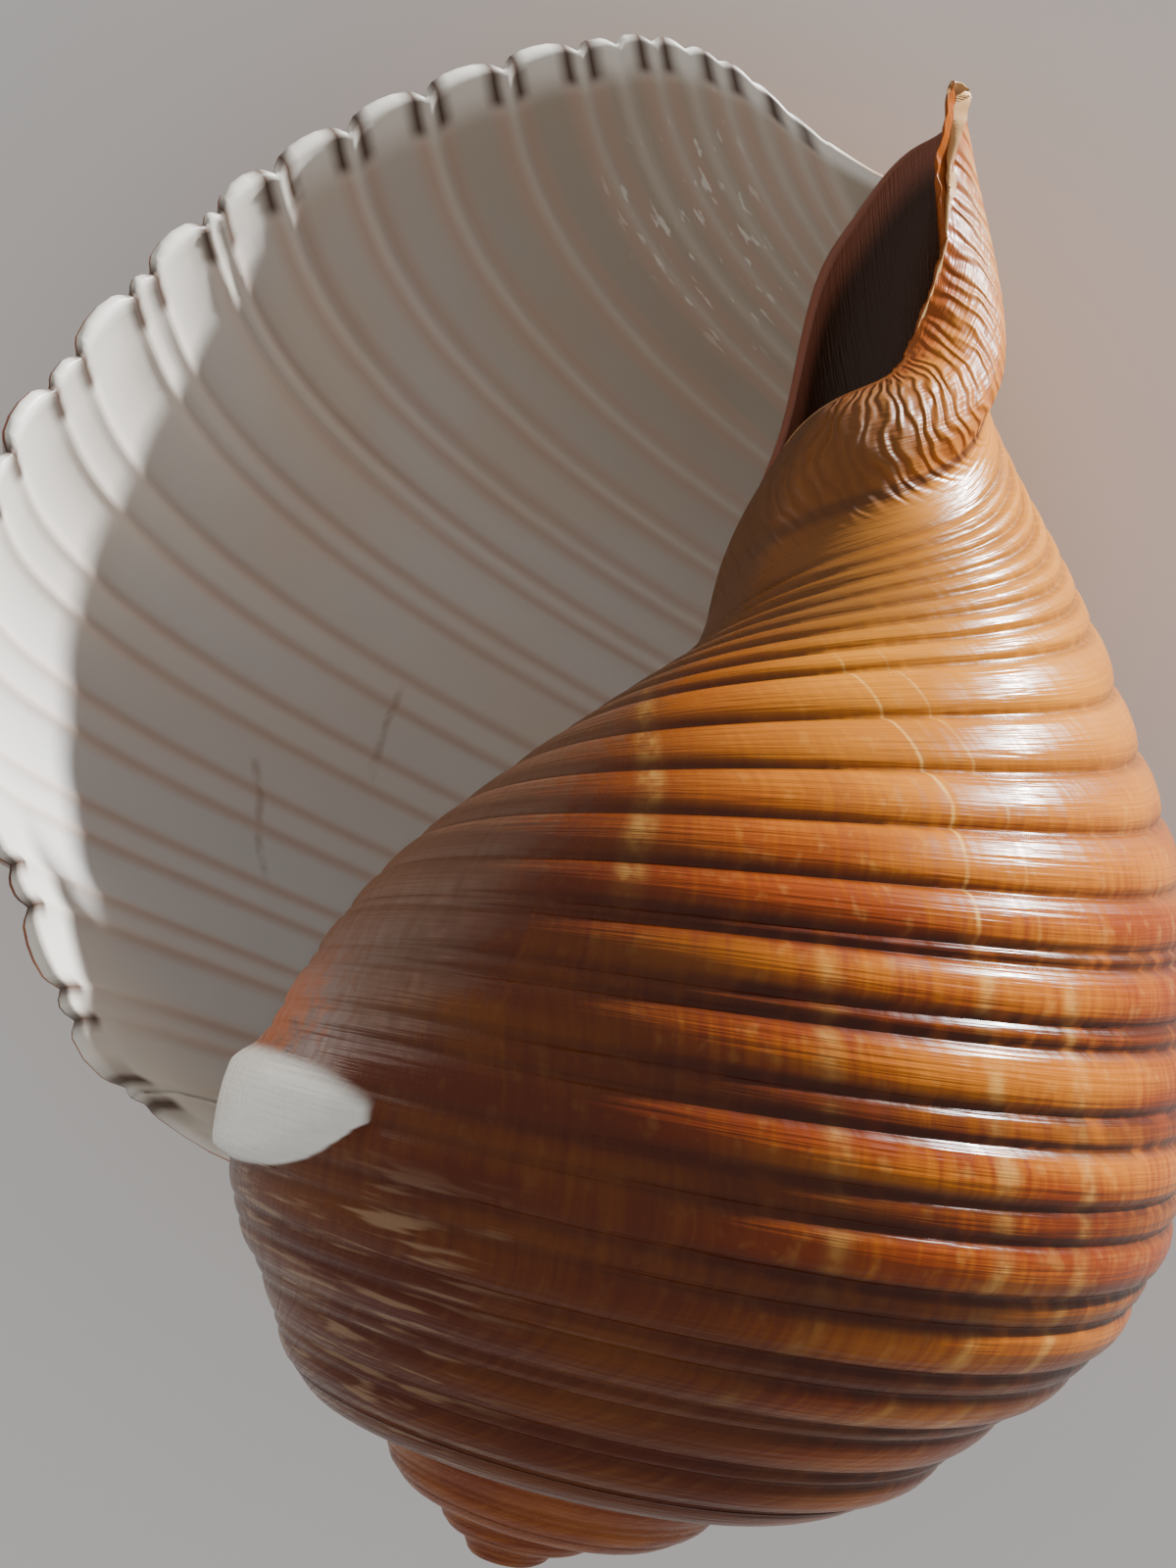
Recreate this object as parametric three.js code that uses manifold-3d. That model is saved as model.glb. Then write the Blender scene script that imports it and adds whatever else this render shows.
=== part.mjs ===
// Tun shell: one hollow, coiled shell that grew as one piece, lying on its back with the mouth upward.
// Lengths are millimetres and angles are radians.
import * as THREE from 'three';
import Module from 'manifold-3d';

// Growth: every turn of the coil is this many times the size of the turn before it.
const GROWTH_PER_TURN = 2.0;
const GROWTH_RATE = Math.log(GROWTH_PER_TURN) / (2 * Math.PI);
const SPIRE_DROP = 3.0;

// Wall thickness at the lip, and the least it thins to in the early whorls.
const WALL = 2.0;
const THINNEST_WALL = 1.0;

// Outer wall, from the channelled suture round the body and base to the crest of the siphonal ridge.
// Each point is its radius, its height under the apex, the growth angle where the lip ends it,
// and how much taller and wider it is in the older whorls.
const OUTER_WALL = [
  [31.2, 33.2, -0.16, 0, 0],
  [37.0, 31.2, -0.16, 0, 0],
  [41.4, 30.5, -0.14, 0, 0],
  [46.0, 33.5, 0.10, 0, 0],
  [55.6, 46.1, 0.54, 0, 0],
  [65.3, 58.6, 0.68, 0, 0],
  [69.9, 75.7, 0.63, 0, 0],
  [67.0, 95.3, 0.49, 0, 0],
  [59.0, 118.2, 0.34, 0, 0],
  [44.5, 139.5, 0.18, 0, 0],
  [38.0, 147.8, 0.07, 0.005, -1],
  [31.0, 155.0, -0.08, 0.017, -2.5],
  [25.0, 160.0, -0.34, 0.03, -4],
  [20.5, 164.0, -0.73, 0.05, -3.5],
  [16.5, 169.5, -1.20, 0.085, -1],
  [17.2, 176.0, -1.57, 0.11, -1],
  [13.0, 183.5, -1.68, 0.13, 1],
  [4.2, 187.0, -1.68, 0.145, 8],
];

// Inner wall, from inside that crest up the twisted columella to where it joins the whorl before it.
const COLUMELLA = [
  [5.4, 185.6, -1.66, 0.14, 6.6],
  [5.5, 178.0, -1.42, 0.14, 5.5],
  [7.4, 165.0, -0.95, 0.14, 3],
  [8.4, 150.0, -0.60, 0.13, 1],
  [8.8, 138.0, -0.40, 0.11, 0],
  [9.0, 126.0, -0.60, 0.07, 0],
  [8.6, 115.0, -0.50, 0.03, 0],
  [6.2, 103.0, -0.20, 0, 0],
];

// How finely each wall is divided along its outline, and in each length along the coil.
// The lengths are a little under half a turn, so the joints of neighbouring whorls are never in line.
const OUTER_POINTS = 21;
const COLUMELLA_POINTS = 7;
const LENGTH_ANGLE = 3.05;
const LENGTH_STEPS = [5, 6, 7, 9, 14];
const LAST_STEPS = 19;
const OUTER_START = -18.55;
const COLUMELLA_START = -18.05;

// Rounded nucleus that closes the start of the coil.
const NUCLEUS_RADIUS = 5.6;
const NUCLEUS_HEIGHT = 12.0;

// Upward direction in the coil's own frame, where the shell balances on its back, and the flat worn there.
const UP = new THREE.Vector3(-0.269, -0.935, 0.232).normalize();
const WORN_DEPTH = 0.5;

const SHELL_COLOUR = 0xb4702c;
const SHELL_ROUGHNESS = 0.35;

const wasm = await Module();
wasm.setup();

function smoothStep(x) {
  const u = Math.min(Math.max(x, 0), 1);
  return u * u * (3 - 2 * u);
}

// Share of the older whorls' proportions, and of the lowered spire, at a growth angle.
function olderShare(angle) {
  return smoothStep((-angle - Math.PI) / (0.9 * Math.PI));
}

function spireShare(angle) {
  return smoothStep((-angle - 1.6 * Math.PI) / (3.4 * Math.PI));
}

// Smooth curve through outline points, divided evenly along its length.
function divideOutline(points, count) {
  const last = points.length - 1;
  const spans = [];
  const stations = [0];
  for (let i = 0; i < last; i += 1) {
    spans.push(Math.hypot(points[i + 1][0] - points[i][0], points[i + 1][1] - points[i][1]));
    stations.push(stations[i] + spans[i]);
  }
  const slope = (i, k) => (points[i + 1][k] - points[i][k]) / spans[i];
  const tangent = (i, k) => {
    if (i === 0) return slope(0, k);
    if (i === last) return slope(last - 1, k);
    const before = spans[i - 1];
    const after = spans[i];
    return (slope(i - 1, k) * after + slope(i, k) * before) / (before + after);
  };
  const divided = [];
  for (let n = 0; n < count; n += 1) {
    const along = (stations[last] * n) / (count - 1);
    let i = 0;
    while (i < last - 1 && along > stations[i + 1]) i += 1;
    const h = spans[i];
    const u = (along - stations[i]) / h;
    const from = 2 * u ** 3 - 3 * u ** 2 + 1;
    const leave = (u ** 3 - 2 * u ** 2 + u) * h;
    const to = 3 * u ** 2 - 2 * u ** 3;
    const arrive = (u ** 3 - u ** 2) * h;
    divided.push(points[i].map((value, k) => (
      from * value + leave * tangent(i, k) + to * points[i + 1][k] + arrive * tangent(i + 1, k)
    )));
  }
  return divided;
}

// Outline point in the section plane at a growth angle, before it is scaled by the growth.
function sectionPoint(point, angle) {
  const share = olderShare(angle);
  return [point[0] + point[4] * share, -point[1] * (1 + point[3] * share)];
}

// Axes of the resting frame: the siphonal end points along +Y and the mouth faces upward.
const SIPHON = new THREE.Vector3(0, 0, -1);
const ALONG = SIPHON.clone().addScaledVector(UP, -SIPHON.dot(UP)).normalize();
const ACROSS = new THREE.Vector3().crossVectors(ALONG, UP);

function placeInCoil(radius, height, angle) {
  const growth = Math.exp(GROWTH_RATE * angle);
  const drop = SPIRE_DROP * spireShare(angle);
  const x = radius * growth * Math.cos(angle);
  const y = -radius * growth * Math.sin(angle);
  return toRest(new THREE.Vector3(x, y, height * growth - drop));
}

function toRest(vector) {
  return [vector.dot(ACROSS), vector.dot(ALONG), vector.dot(UP)];
}

// Outer and inner point of a wall at one outline point and one growth angle.
function wallPoints(outline, index, angle) {
  const before = sectionPoint(outline[Math.max(index - 1, 0)], angle);
  const here = sectionPoint(outline[index], angle);
  const after = sectionPoint(outline[Math.min(index + 1, outline.length - 1)], angle);
  const length = Math.hypot(after[0] - before[0], after[1] - before[1]);
  const inward = [(after[1] - before[1]) / length, -(after[0] - before[0]) / length];
  const growth = Math.exp(GROWTH_RATE * angle);
  const wall = Math.max(THINNEST_WALL, WALL * Math.min(growth, 1)) / growth;
  return [
    placeInCoil(here[0], here[1], angle),
    placeInCoil(here[0] + inward[0] * wall, here[1] + inward[1] * wall, angle),
  ];
}

function makeSolid(vertices, triangles) {
  const mesh = new wasm.Mesh({
    numProp: 3,
    vertProperties: new Float32Array(vertices.flat()),
    triVerts: new Uint32Array(triangles.flat()),
  });
  return new wasm.Manifold(mesh);
}

// One length of wall, swept from a section plane to an end angle that may differ along the outline.
function sweepWall(outline, startAngle, endAngle, steps) {
  const columns = outline.length;
  const vertices = [];
  for (let row = 0; row <= steps; row += 1) {
    for (let column = 0; column < columns; column += 1) {
      const end = endAngle(outline[column]);
      const angle = startAngle + ((end - startAngle) * row) / steps;
      vertices.push(...wallPoints(outline, column, angle));
    }
  }
  const outer = (row, column) => 2 * (row * columns + column);
  const inner = (row, column) => outer(row, column) + 1;
  const triangles = [];
  const quad = (a, b, c, d) => triangles.push([a, c, b], [a, d, c]);
  for (let row = 0; row < steps; row += 1) {
    for (let column = 0; column < columns - 1; column += 1) {
      const next = column + 1;
      quad(outer(row, column), outer(row, next), outer(row + 1, next), outer(row + 1, column));
      quad(inner(row, column), inner(row + 1, column), inner(row + 1, next), inner(row, next));
    }
    const last = columns - 1;
    quad(outer(row, 0), outer(row + 1, 0), inner(row + 1, 0), inner(row, 0));
    quad(outer(row, last), inner(row, last), inner(row + 1, last), outer(row + 1, last));
  }
  for (let column = 0; column < columns - 1; column += 1) {
    const next = column + 1;
    quad(outer(0, column), inner(0, column), inner(0, next), outer(0, next));
    quad(outer(steps, column), outer(steps, next), inner(steps, next), inner(steps, column));
  }
  return makeSolid(vertices, triangles);
}

// Ball and box, as plain closed meshes.
function makeBall(radius, centre) {
  const rings = 6;
  const sides = 12;
  const vertices = [toRest(new THREE.Vector3(0, 0, centre + radius))];
  for (let ring = 1; ring < rings; ring += 1) {
    const polar = (Math.PI * ring) / rings;
    for (let side = 0; side < sides; side += 1) {
      const turn = (2 * Math.PI * side) / sides;
      const x = radius * Math.sin(polar) * Math.cos(turn);
      const y = radius * Math.sin(polar) * Math.sin(turn);
      vertices.push(toRest(new THREE.Vector3(x, y, centre + radius * Math.cos(polar))));
    }
  }
  vertices.push(toRest(new THREE.Vector3(0, 0, centre - radius)));
  const bottom = vertices.length - 1;
  const at = (ring, side) => 1 + (ring - 1) * sides + (side % sides);
  const triangles = [];
  for (let side = 0; side < sides; side += 1) {
    triangles.push([0, at(1, side), at(1, side + 1)]);
    triangles.push([bottom, at(rings - 1, side + 1), at(rings - 1, side)]);
    for (let ring = 1; ring < rings - 1; ring += 1) {
      triangles.push([at(ring, side), at(ring + 1, side), at(ring + 1, side + 1)]);
      triangles.push([at(ring, side), at(ring + 1, side + 1), at(ring, side + 1)]);
    }
  }
  return makeSolid(vertices, triangles);
}

function makeBox(low, high) {
  const vertices = [];
  for (let corner = 0; corner < 8; corner += 1) {
    vertices.push([0, 1, 2].map((axis) => ((corner >> axis) & 1 ? high[axis] : low[axis])));
  }
  const triangles = [
    [0, 2, 1], [1, 2, 3], [4, 5, 6], [5, 7, 6], [0, 1, 4], [1, 5, 4],
    [2, 6, 3], [3, 6, 7], [0, 4, 2], [2, 4, 6], [1, 3, 5], [3, 7, 5],
  ];
  return makeSolid(vertices, triangles);
}

// Join each wall length by length, ending with the one that runs to the lip.
function joinWall(shell, points, count, startAngle) {
  const outline = divideOutline(points, count);
  let joined = shell;
  let angle = startAngle;
  for (const steps of LENGTH_STEPS) {
    const end = angle + LENGTH_ANGLE;
    joined = joined.add(sweepWall(outline, angle, () => end, steps));
    angle = end;
  }
  return joined.add(sweepWall(outline, angle, (point) => point[2], LAST_STEPS));
}

let shell = makeBall(NUCLEUS_RADIUS, -NUCLEUS_HEIGHT);
shell = joinWall(shell, OUTER_WALL, OUTER_POINTS, OUTER_START);
shell = joinWall(shell, COLUMELLA, COLUMELLA_POINTS, COLUMELLA_START);

// Flat worn on the back, where the shell rests.
const bounds = shell.boundingBox();
const floor = bounds.min[2] + WORN_DEPTH;
const wornLow = [bounds.min[0] - 1, bounds.min[1] - 1, bounds.min[2] - 1];
const wornHigh = [bounds.max[0] + 1, bounds.max[1] + 1, floor];
shell = shell.subtract(makeBox(wornLow, wornHigh));

// Origin: on the resting plane, under the middle of the shell's extent.
const middleX = (bounds.min[0] + bounds.max[0]) / 2;
const middleY = (bounds.min[1] + bounds.max[1]) / 2;
const solid = shell.getMesh();
const positions = new Float32Array(solid.vertProperties.length);
for (let i = 0; i < positions.length; i += 3) {
  positions[i] = solid.vertProperties[i] - middleX;
  positions[i + 1] = solid.vertProperties[i + 1] - middleY;
  positions[i + 2] = solid.vertProperties[i + 2] - floor;
}
const geometry = new THREE.BufferGeometry();
geometry.setAttribute('position', new THREE.BufferAttribute(positions, 3));
geometry.setIndex(new THREE.BufferAttribute(new Uint32Array(solid.triVerts), 1));
geometry.computeVertexNormals();

const material = new THREE.MeshStandardMaterial({
  color: SHELL_COLOUR,
  roughness: SHELL_ROUGHNESS,
  metalness: 0,
});
const mesh = new THREE.Mesh(geometry, material);
mesh.name = 'shell';
const part = new THREE.Group();
part.name = 'tun_shell';
part.add(mesh);

export default part;
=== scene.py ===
import math

import bpy
import numpy as np
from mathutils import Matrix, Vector


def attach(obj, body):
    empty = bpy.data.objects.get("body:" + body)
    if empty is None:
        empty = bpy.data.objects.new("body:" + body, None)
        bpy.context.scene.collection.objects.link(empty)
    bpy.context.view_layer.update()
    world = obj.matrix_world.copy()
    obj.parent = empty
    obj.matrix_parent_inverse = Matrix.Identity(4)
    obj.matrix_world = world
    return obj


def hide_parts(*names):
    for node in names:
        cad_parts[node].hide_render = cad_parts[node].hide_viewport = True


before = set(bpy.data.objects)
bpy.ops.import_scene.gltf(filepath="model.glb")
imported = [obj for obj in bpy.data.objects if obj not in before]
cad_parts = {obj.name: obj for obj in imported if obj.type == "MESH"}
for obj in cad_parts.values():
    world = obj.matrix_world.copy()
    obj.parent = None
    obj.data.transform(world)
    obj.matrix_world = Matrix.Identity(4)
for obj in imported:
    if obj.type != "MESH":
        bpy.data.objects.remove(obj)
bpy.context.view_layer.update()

MM = 0.001

# Growth of the coil: each turn is twice the size of the turn before it. Lengths are mm. Angles are radians
# of growth, negative in the older whorls, where the outline and the spire's height change a little.
GROWTH_RATE = math.log(2.0) / (2.0 * math.pi)
OLDER_START = math.pi
OLDER_SPAN = 0.9 * math.pi
SPIRE_DROP = 3.0
SPIRE_START = 1.6 * math.pi
SPIRE_SPAN = 3.4 * math.pi

# Small growth angle that gives the direction of growth at a point.
SMALL_TURN = 0.001

# Outline of the last whorl: radius, height under the apex, growth angle where the lip ends it,
# and how much taller and wider the point is in the older whorls.
OUTER_WALL = (
    (31.2, 33.2, -0.16, 0.0, 0.0),
    (37.0, 31.2, -0.16, 0.0, 0.0),
    (41.4, 30.5, -0.14, 0.0, 0.0),
    (46.0, 33.5, 0.10, 0.0, 0.0),
    (55.6, 46.1, 0.54, 0.0, 0.0),
    (65.3, 58.6, 0.68, 0.0, 0.0),
    (69.9, 75.7, 0.63, 0.0, 0.0),
    (67.0, 95.3, 0.49, 0.0, 0.0),
    (59.0, 118.2, 0.34, 0.0, 0.0),
    (44.5, 139.5, 0.18, 0.0, 0.0),
    (38.0, 147.8, 0.07, 0.005, -1.0),
    (31.0, 155.0, -0.08, 0.017, -2.5),
    (25.0, 160.0, -0.34, 0.03, -4.0),
    (20.5, 164.0, -0.73, 0.05, -3.5),
    (16.5, 169.5, -1.20, 0.085, -1.0),
    (17.2, 176.0, -1.57, 0.11, -1.0),
    (13.0, 183.5, -1.68, 0.13, 1.0),
    (4.2, 187.0, -1.68, 0.145, 8.0),
)
COLUMELLA = (
    (4.2, 187.0, -1.68, 0.145, 8.0),
    (5.5, 178.0, -1.42, 0.14, 5.5),
    (7.4, 165.0, -0.95, 0.14, 3.0),
    (8.4, 150.0, -0.60, 0.13, 1.0),
    (8.8, 138.0, -0.40, 0.11, 0.0),
    (9.0, 126.0, -0.60, 0.07, 0.0),
    (8.6, 115.0, -0.50, 0.03, 0.0),
    (6.2, 103.0, -0.20, 0.0, 0.0),
)
SHOULDER = (41.4, -30.5)
OUTER_SAMPLES = 4000
COLUMELLA_SAMPLES = 2000

# Resting frame: upward direction in the coil's frame, and where the resting origin is.
UP = np.array((-0.269, -0.935, 0.232))
REST_ORIGIN = np.array((-10.6735, 78.3020, -75.7382))

# Wall: its thickness, thinner in the older whorls, at the crest of the siphonal ridge and at the lip, and
# thick again at the siphonal tip. Places along the outline are distances from the shoulder or the crest.
WALL = 2.0
THINNEST_WALL = 1.0
CREST_SHARE = 0.2
CREST_THIN_START = 150.0
CREST_THIN_END = 30.0
TIP_SHARE = 0.9
TIP_ANGLE = 0.5
TIP_START = 160.0
TIP_SPAN = 15.0
TIP_END = 12.0
LIP_THINNING = 0.38
LIP_ANGLE = 0.14

# Spaces between the spiral ribs: distance from the shoulder along the outline, and half the distance
# between the two grooves that flank a fine riblet there. Zero is a single groove.
RIB_SPACES = (
    (6.5, 0.8),
    (15.0, 1.4),
    (25.2, 1.8),
    (36.2, 2.0),
    (47.5, 2.1),
    (58.9, 2.2),
    (70.3, 2.1),
    (81.8, 1.5),
    (91.6, 1.0),
    (99.8, 0.0),
    (108.5, 0.0),
    (117.4, 0.0),
    (126.4, 0.0),
    (135.0, 0.0),
)
NECK_GROOVES = (139.4, 143.4, 147.0, 150.4, 153.6, 156.6, 159.4)
RIB_CROWN = 0.80
CROWN_SHARE = 0.11
RIB_ROUNDNESS = 2.4
RIBLET_CROWN = 0.22
RIBLET_SHADE = 0.42
RIBLET_MARGIN = 0.4
RIBLET_EDGE = 0.6
GROOVE_DEPTH = 0.42
GROOVE_WIDTH = 0.75
SHADE_WIDTH = 1.0

# Ribs fade towards the suture and the siphonal ridge, wear down on the older half, show through inside as
# flutes with a line on either side of each space, and scallop the lip.
RIBS_IN = 8.0
RIBS_OUT = 154.0
RIBS_OUT_SPAN = 10.0
FADED_RIBS = 0.25
WORN_SHARE = 0.5
WORN_START = -4.6
WORN_SPAN = 0.8
INNER_RELIEF = 0.42
SPOT_HALF = 1.35
SPOT_WIDTH = 0.80
SCALLOP = 0.0065
SCALLOP_END = 160.0
RIM_BULGE = 0.9
RIM_TURNS = (0.25, 0.5, 0.75)

# Columns of the mesh along the outline: places beside each groove and beside the crest, and the widest steps.
GROOVE_STEPS = (-1.35, -0.8, -0.4, 0.0, 0.4, 0.8, 1.35)
RIB_STEP = 1.8
CREST_STEPS = (-1.2, -0.7, -0.35, 0.35, 0.7, 1.2)
COLUMELLA_STEP = 2.6

# Rows of the mesh: growth angles that bound them, and their steps, closer together towards the lip.
COIL_START = -8.6 * math.pi
WHOLE_START = -2.3 * math.pi
WARP_START = -math.pi
INNER_START = -1.9 * math.pi
OLD_STEP = 0.14
BODY_STEP = 0.052
LAST_ROWS = 76
LAST_CROWDING = 1.25
INNER_STEP = 0.09
INNER_ROWS = 48
INNER_CROWDING = 1.3
OLD_WHORL_END = 96.0

# Apex: growth angles over which the first whorls close over the axis, how far along the outline that
# reaches, and the rounded nucleus that ends the tube.
CLOSE_START = -6.6 * math.pi
CLOSE_SPAN = 1.6 * math.pi
CLOSE_REACH = 12.0
NUCLEUS_RISES = (1.4, 1.0, 0.5)
NUCLEUS_BULGE = 0.6

# Parietal callus, a wedge on the whorl inside the mouth: angle of its tip and its level along the
# outline, the levels its upper and lower edges come to, the angle that takes, its thickness, the widths
# of its edges and where it ends inside the mouth.
CALLUS_TIP = -5.08
CALLUS_LEVEL = 57.0
CALLUS_TOP = 62.0
CALLUS_LOW = 44.0
CALLUS_CURVE = 0.17
CALLUS_HEIGHT = 1.8
CALLUS_LOW_EDGE = 3.0
CALLUS_TOP_OVER = 4.0
CALLUS_TOP_EDGE = 6.0
CALLUS_TIP_EDGE = 0.05
CALLUS_END = -2.2 * math.pi
CALLUS_END_EDGE = 0.2

# Thick frilled edge of the siphonal ridge near its tip: swelling, reach along the outline before and
# after the crest, the growth angles between which it fades in, the place past the crest that it swells
# towards, and the inner wall's share of it.
SWELL = 2.5
SWELL_BEFORE = 6.0
SWELL_LEVEL = 1.0
SWELL_AFTER = 9.0
SWELL_START = -2.75
SWELL_FULL = -2.05
SWELL_TOWARDS = 4.0
INNER_SWELL = 0.45

# Frills on that edge: height, waves per radian, width along the outline, where they fade in, and the size,
# rate and start of the waves that they are made of.
FRILL = 0.13
FRILL_RATE = 17.0
FRILL_WIDTH = 3.0
FRILL_START = -4.6
FRILL_SPAN = 0.6
FRILL_WAVES = ((1.0, 1.0, 0.0), (0.7, 2.3, 1.0), (0.5, 3.1, 0.0))

# Former lip edges bend back on either side of one place along the outline, by an angle for each mm, and
# the bend fades out towards the siphonal end.
BEND = 112.0
BEND_BELOW = 0.0028
BEND_ABOVE = 0.0035
BEND_END = 175.0
BEND_FADE = 25.0

# Unrolled map of the surface: its name and the margin round it.
BAKE_MAP = "OFBake"
BAKE_EDGE = 0.004

# Colours, as linear red, green and blue.
RIB_GOLD = (0.50, 0.145, 0.008)
RIB_RED = (0.25, 0.040, 0.004)
BASE_GOLD = (0.74, 0.29, 0.018)
GROOVE_BROWN = (0.050, 0.009, 0.003)
MAROON_AND_SHADE = (0.062, 0.011, 0.004)
WORN_LILAC = (0.15, 0.085, 0.070)
SCUFF_AND_HIGHLIGHT_PALE = (0.36, 0.22, 0.12)
STRIPE_PALE = (0.88, 0.50, 0.12)
GLAZE_AND_SHADE_BROWN = (0.11, 0.052, 0.026)
UMBILICUS_SHADE_BROWN = (0.045, 0.018, 0.009)
COLUMELLA_RED = (0.22, 0.075, 0.045)
CALLUS_WHITE = (0.97, 0.96, 0.90)
PARIETAL_RED = (0.40, 0.120, 0.045)
SPIRE_RED = (0.21, 0.048, 0.012)
NECK_PAINTED_SHADE = (0.13, 0.052, 0.016)
TIP_TAN = (0.54, 0.30, 0.12)
INSIDE_GREY = (0.72, 0.60, 0.49)
INSIDE_PINK_AND_SHADE = (0.54, 0.37, 0.29)
INSIDE_BLUE = (0.68, 0.69, 0.70)
INSIDE_LIGHT = (0.84, 0.75, 0.66)
INSIDE_OLIVE = (0.36, 0.295, 0.22)
LIP_CREAM = (0.88, 0.84, 0.76)
SPOT_BROWN = (0.060, 0.022, 0.010)
STAIN_BROWN = (0.28, 0.16, 0.085)
FLOOR_COLOUR = (0.93, 0.925, 0.915)

# Gloss of every surface, and the strength and depth in metres of the fine relief.
GLOSS = 0.26
RELIEF_STRENGTH = 0.5
RELIEF_DEPTH = 0.0006
FLOOR_ROUGHNESS = 0.9

# Patterns: mm along growth for each radian, how far growth lines waver, and the crest's place in mm.
MM_PER_RADIAN = 60.0
WAVER = 4.0
CREST_ARC = 191.4

# Pale growth stripes: reach along the outline, then growth angle back from the lip, half width and
# strength of each. Soft bands lie on the body, and fine lines and one worn patch on the base.
GROWTH_STRIPES = (
    (20.0, 96.0, ((-4.315, 0.036, 0.42), (-4.110, 0.036, 0.36), (-4.640, 0.040, 0.30))),
    (88.0, 144.0, ((-4.315, 0.009, 0.75), (-4.165, 0.008, 0.40), (-5.050, 0.060, 0.50))),
)
STRIPE_FADE = 10.0

# Edge of the maroon older half, which is partly painted shade of the body's shaded side: how far it leans
# along the outline, how ragged it is and how grooves cut into it.
MAROON_SHADE_LEAN = 0.0089
MAROON_SHADE_RAGGED = 0.5
MAROON_SHADE_GROOVED = 0.45

# Siphonal ridge: crescent folds per radian and how much they wander, and the crease along its foot, where a
# dark line is painted shadow under the ridge.
FOLDS = 52.0
FOLD_WANDER = 14.0
CREASE_SHADOW_PLACE = 167.0

# Brown stain lines inside: growth angle at the lower end, its slope, and both ends along the outline.
STAINS = ((-0.42, 0.0045, 38.0, 55.0), (-0.61, 0.0008, 57.0, 72.0))
STAIN_WAVER = 0.15
STAIN_FADE = 3.0

# Camera at the photograph's viewing angle: place in metres, turn in degrees, lens and sensor in mm.
CAMERA_PLACE = (-0.01474, 0.02892, 0.24778)
CAMERA_TURN = (-10.2012, -0.1698, 18.2722)
CAMERA_LENS = 46.08
SENSOR = 36.0
NEAREST_SEEN = 0.005

# Floor: radius of the part that casts shadows and of the whole, in metres.
NEAR_FLOOR = 0.15
FAR_FLOOR = 3.0
FLOOR_SIDES = 96

# Key light from the upper right of the picture, square to the line of sight, so that it rakes past the
# mouth from a little below the resting plane, and a pale soft surround.
KEY_FROM = Vector((0.51, 0.82, -0.22))
KEY_AIM = Vector((0.0, 0.0, 0.05))
KEY_DISTANCE = 2.0
KEY_SIZE = 0.12
KEY_POWER = 155.0
SURROUND = (1.0, 0.98, 0.96)
SURROUND_STRENGTH = 0.52


def smooth_step(x):
    u = np.clip(x, 0.0, 1.0)
    return u * u * (3.0 - 2.0 * u)


def older_share(angles):
    return smooth_step((-angles - OLDER_START) / OLDER_SPAN)


def spire_share(angles):
    return smooth_step((-angles - SPIRE_START) / SPIRE_SPAN)


def smooth_curve(points, count):
    """Smooth curve through outline points, with its heights below the apex as negative numbers."""
    knots = np.array(points) * np.array((1.0, -1.0, 1.0, 1.0, 1.0))
    spans = np.linalg.norm(np.diff(knots[:, :2], axis=0), axis=1)
    stations = np.concatenate(([0.0], np.cumsum(spans)))
    slopes = np.diff(knots, axis=0) / spans[:, None]
    before = spans[:-1, None]
    after = spans[1:, None]
    tangents = np.empty_like(knots)
    tangents[0] = slopes[0]
    tangents[-1] = slopes[-1]
    tangents[1:-1] = (slopes[:-1] * after + slopes[1:] * before) / (before + after)
    places = np.linspace(0.0, stations[-1], count)
    index = np.clip(np.searchsorted(stations, places, side="right") - 1, 0, len(spans) - 1)
    span = spans[index][:, None]
    u = (places - stations[index])[:, None] / span
    start = (2 * u**3 - 3 * u**2 + 1) * knots[index]
    leave = (u**3 - 2 * u**2 + u) * span * tangents[index]
    arrive = (u**3 - u**2) * span * tangents[index + 1]
    end = (3 * u**2 - 2 * u**3) * knots[index + 1]
    return start + leave + arrive + end


def arc_lengths(curve):
    steps = np.linalg.norm(np.diff(curve[:, :2], axis=0), axis=1)
    return np.concatenate(([0.0], np.cumsum(steps)))


def at_arcs(curve, lengths, arcs):
    return np.stack([np.interp(arcs, lengths, curve[:, k]) for k in range(curve.shape[1])], axis=1)


def groove_arcs():
    found = list(NECK_GROOVES)
    for middle, half in RIB_SPACES:
        found.extend([middle] if half == 0.0 else [middle - half, middle + half])
    return np.array(sorted(found))


def filled(arcs, step):
    """The arcs with more put in wherever two of them are further apart than the step."""
    done = [arcs[0]]
    for arc in arcs[1:]:
        parts = max(1, math.ceil((arc - done[-1]) / step - 1e-6))
        done.extend(np.linspace(done[-1], arc, parts + 1)[1:])
    return np.array(done)


def make_columns():
    """Outline columns with their distance from the shoulder, dense at the grooves and at the crest."""
    outer = smooth_curve(OUTER_WALL, OUTER_SAMPLES)
    outer_arcs = arc_lengths(outer)
    shoulder = np.argmin(np.linalg.norm(outer[:, :2] - np.array(SHOULDER), axis=1))
    outer_arcs = outer_arcs - outer_arcs[shoulder]
    crest = outer_arcs[-1]
    marks = [arc + step for arc in groove_arcs() for step in GROOVE_STEPS]
    marks += [outer_arcs[0], crest] + [crest + step for step in CREST_STEPS if step < 0.0]
    outer_columns = filled(sorted(marks), RIB_STEP)
    inner = smooth_curve(COLUMELLA, COLUMELLA_SAMPLES)
    inner_arcs = arc_lengths(inner) + crest
    marks = [crest + step for step in CREST_STEPS if step > 0.0] + [inner_arcs[-1]]
    inner_columns = filled(marks, COLUMELLA_STEP)
    outline = np.concatenate((
        at_arcs(outer, outer_arcs, outer_columns),
        at_arcs(inner, inner_arcs, inner_columns),
    ))
    return outline, np.concatenate((outer_columns, inner_columns)), crest


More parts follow.
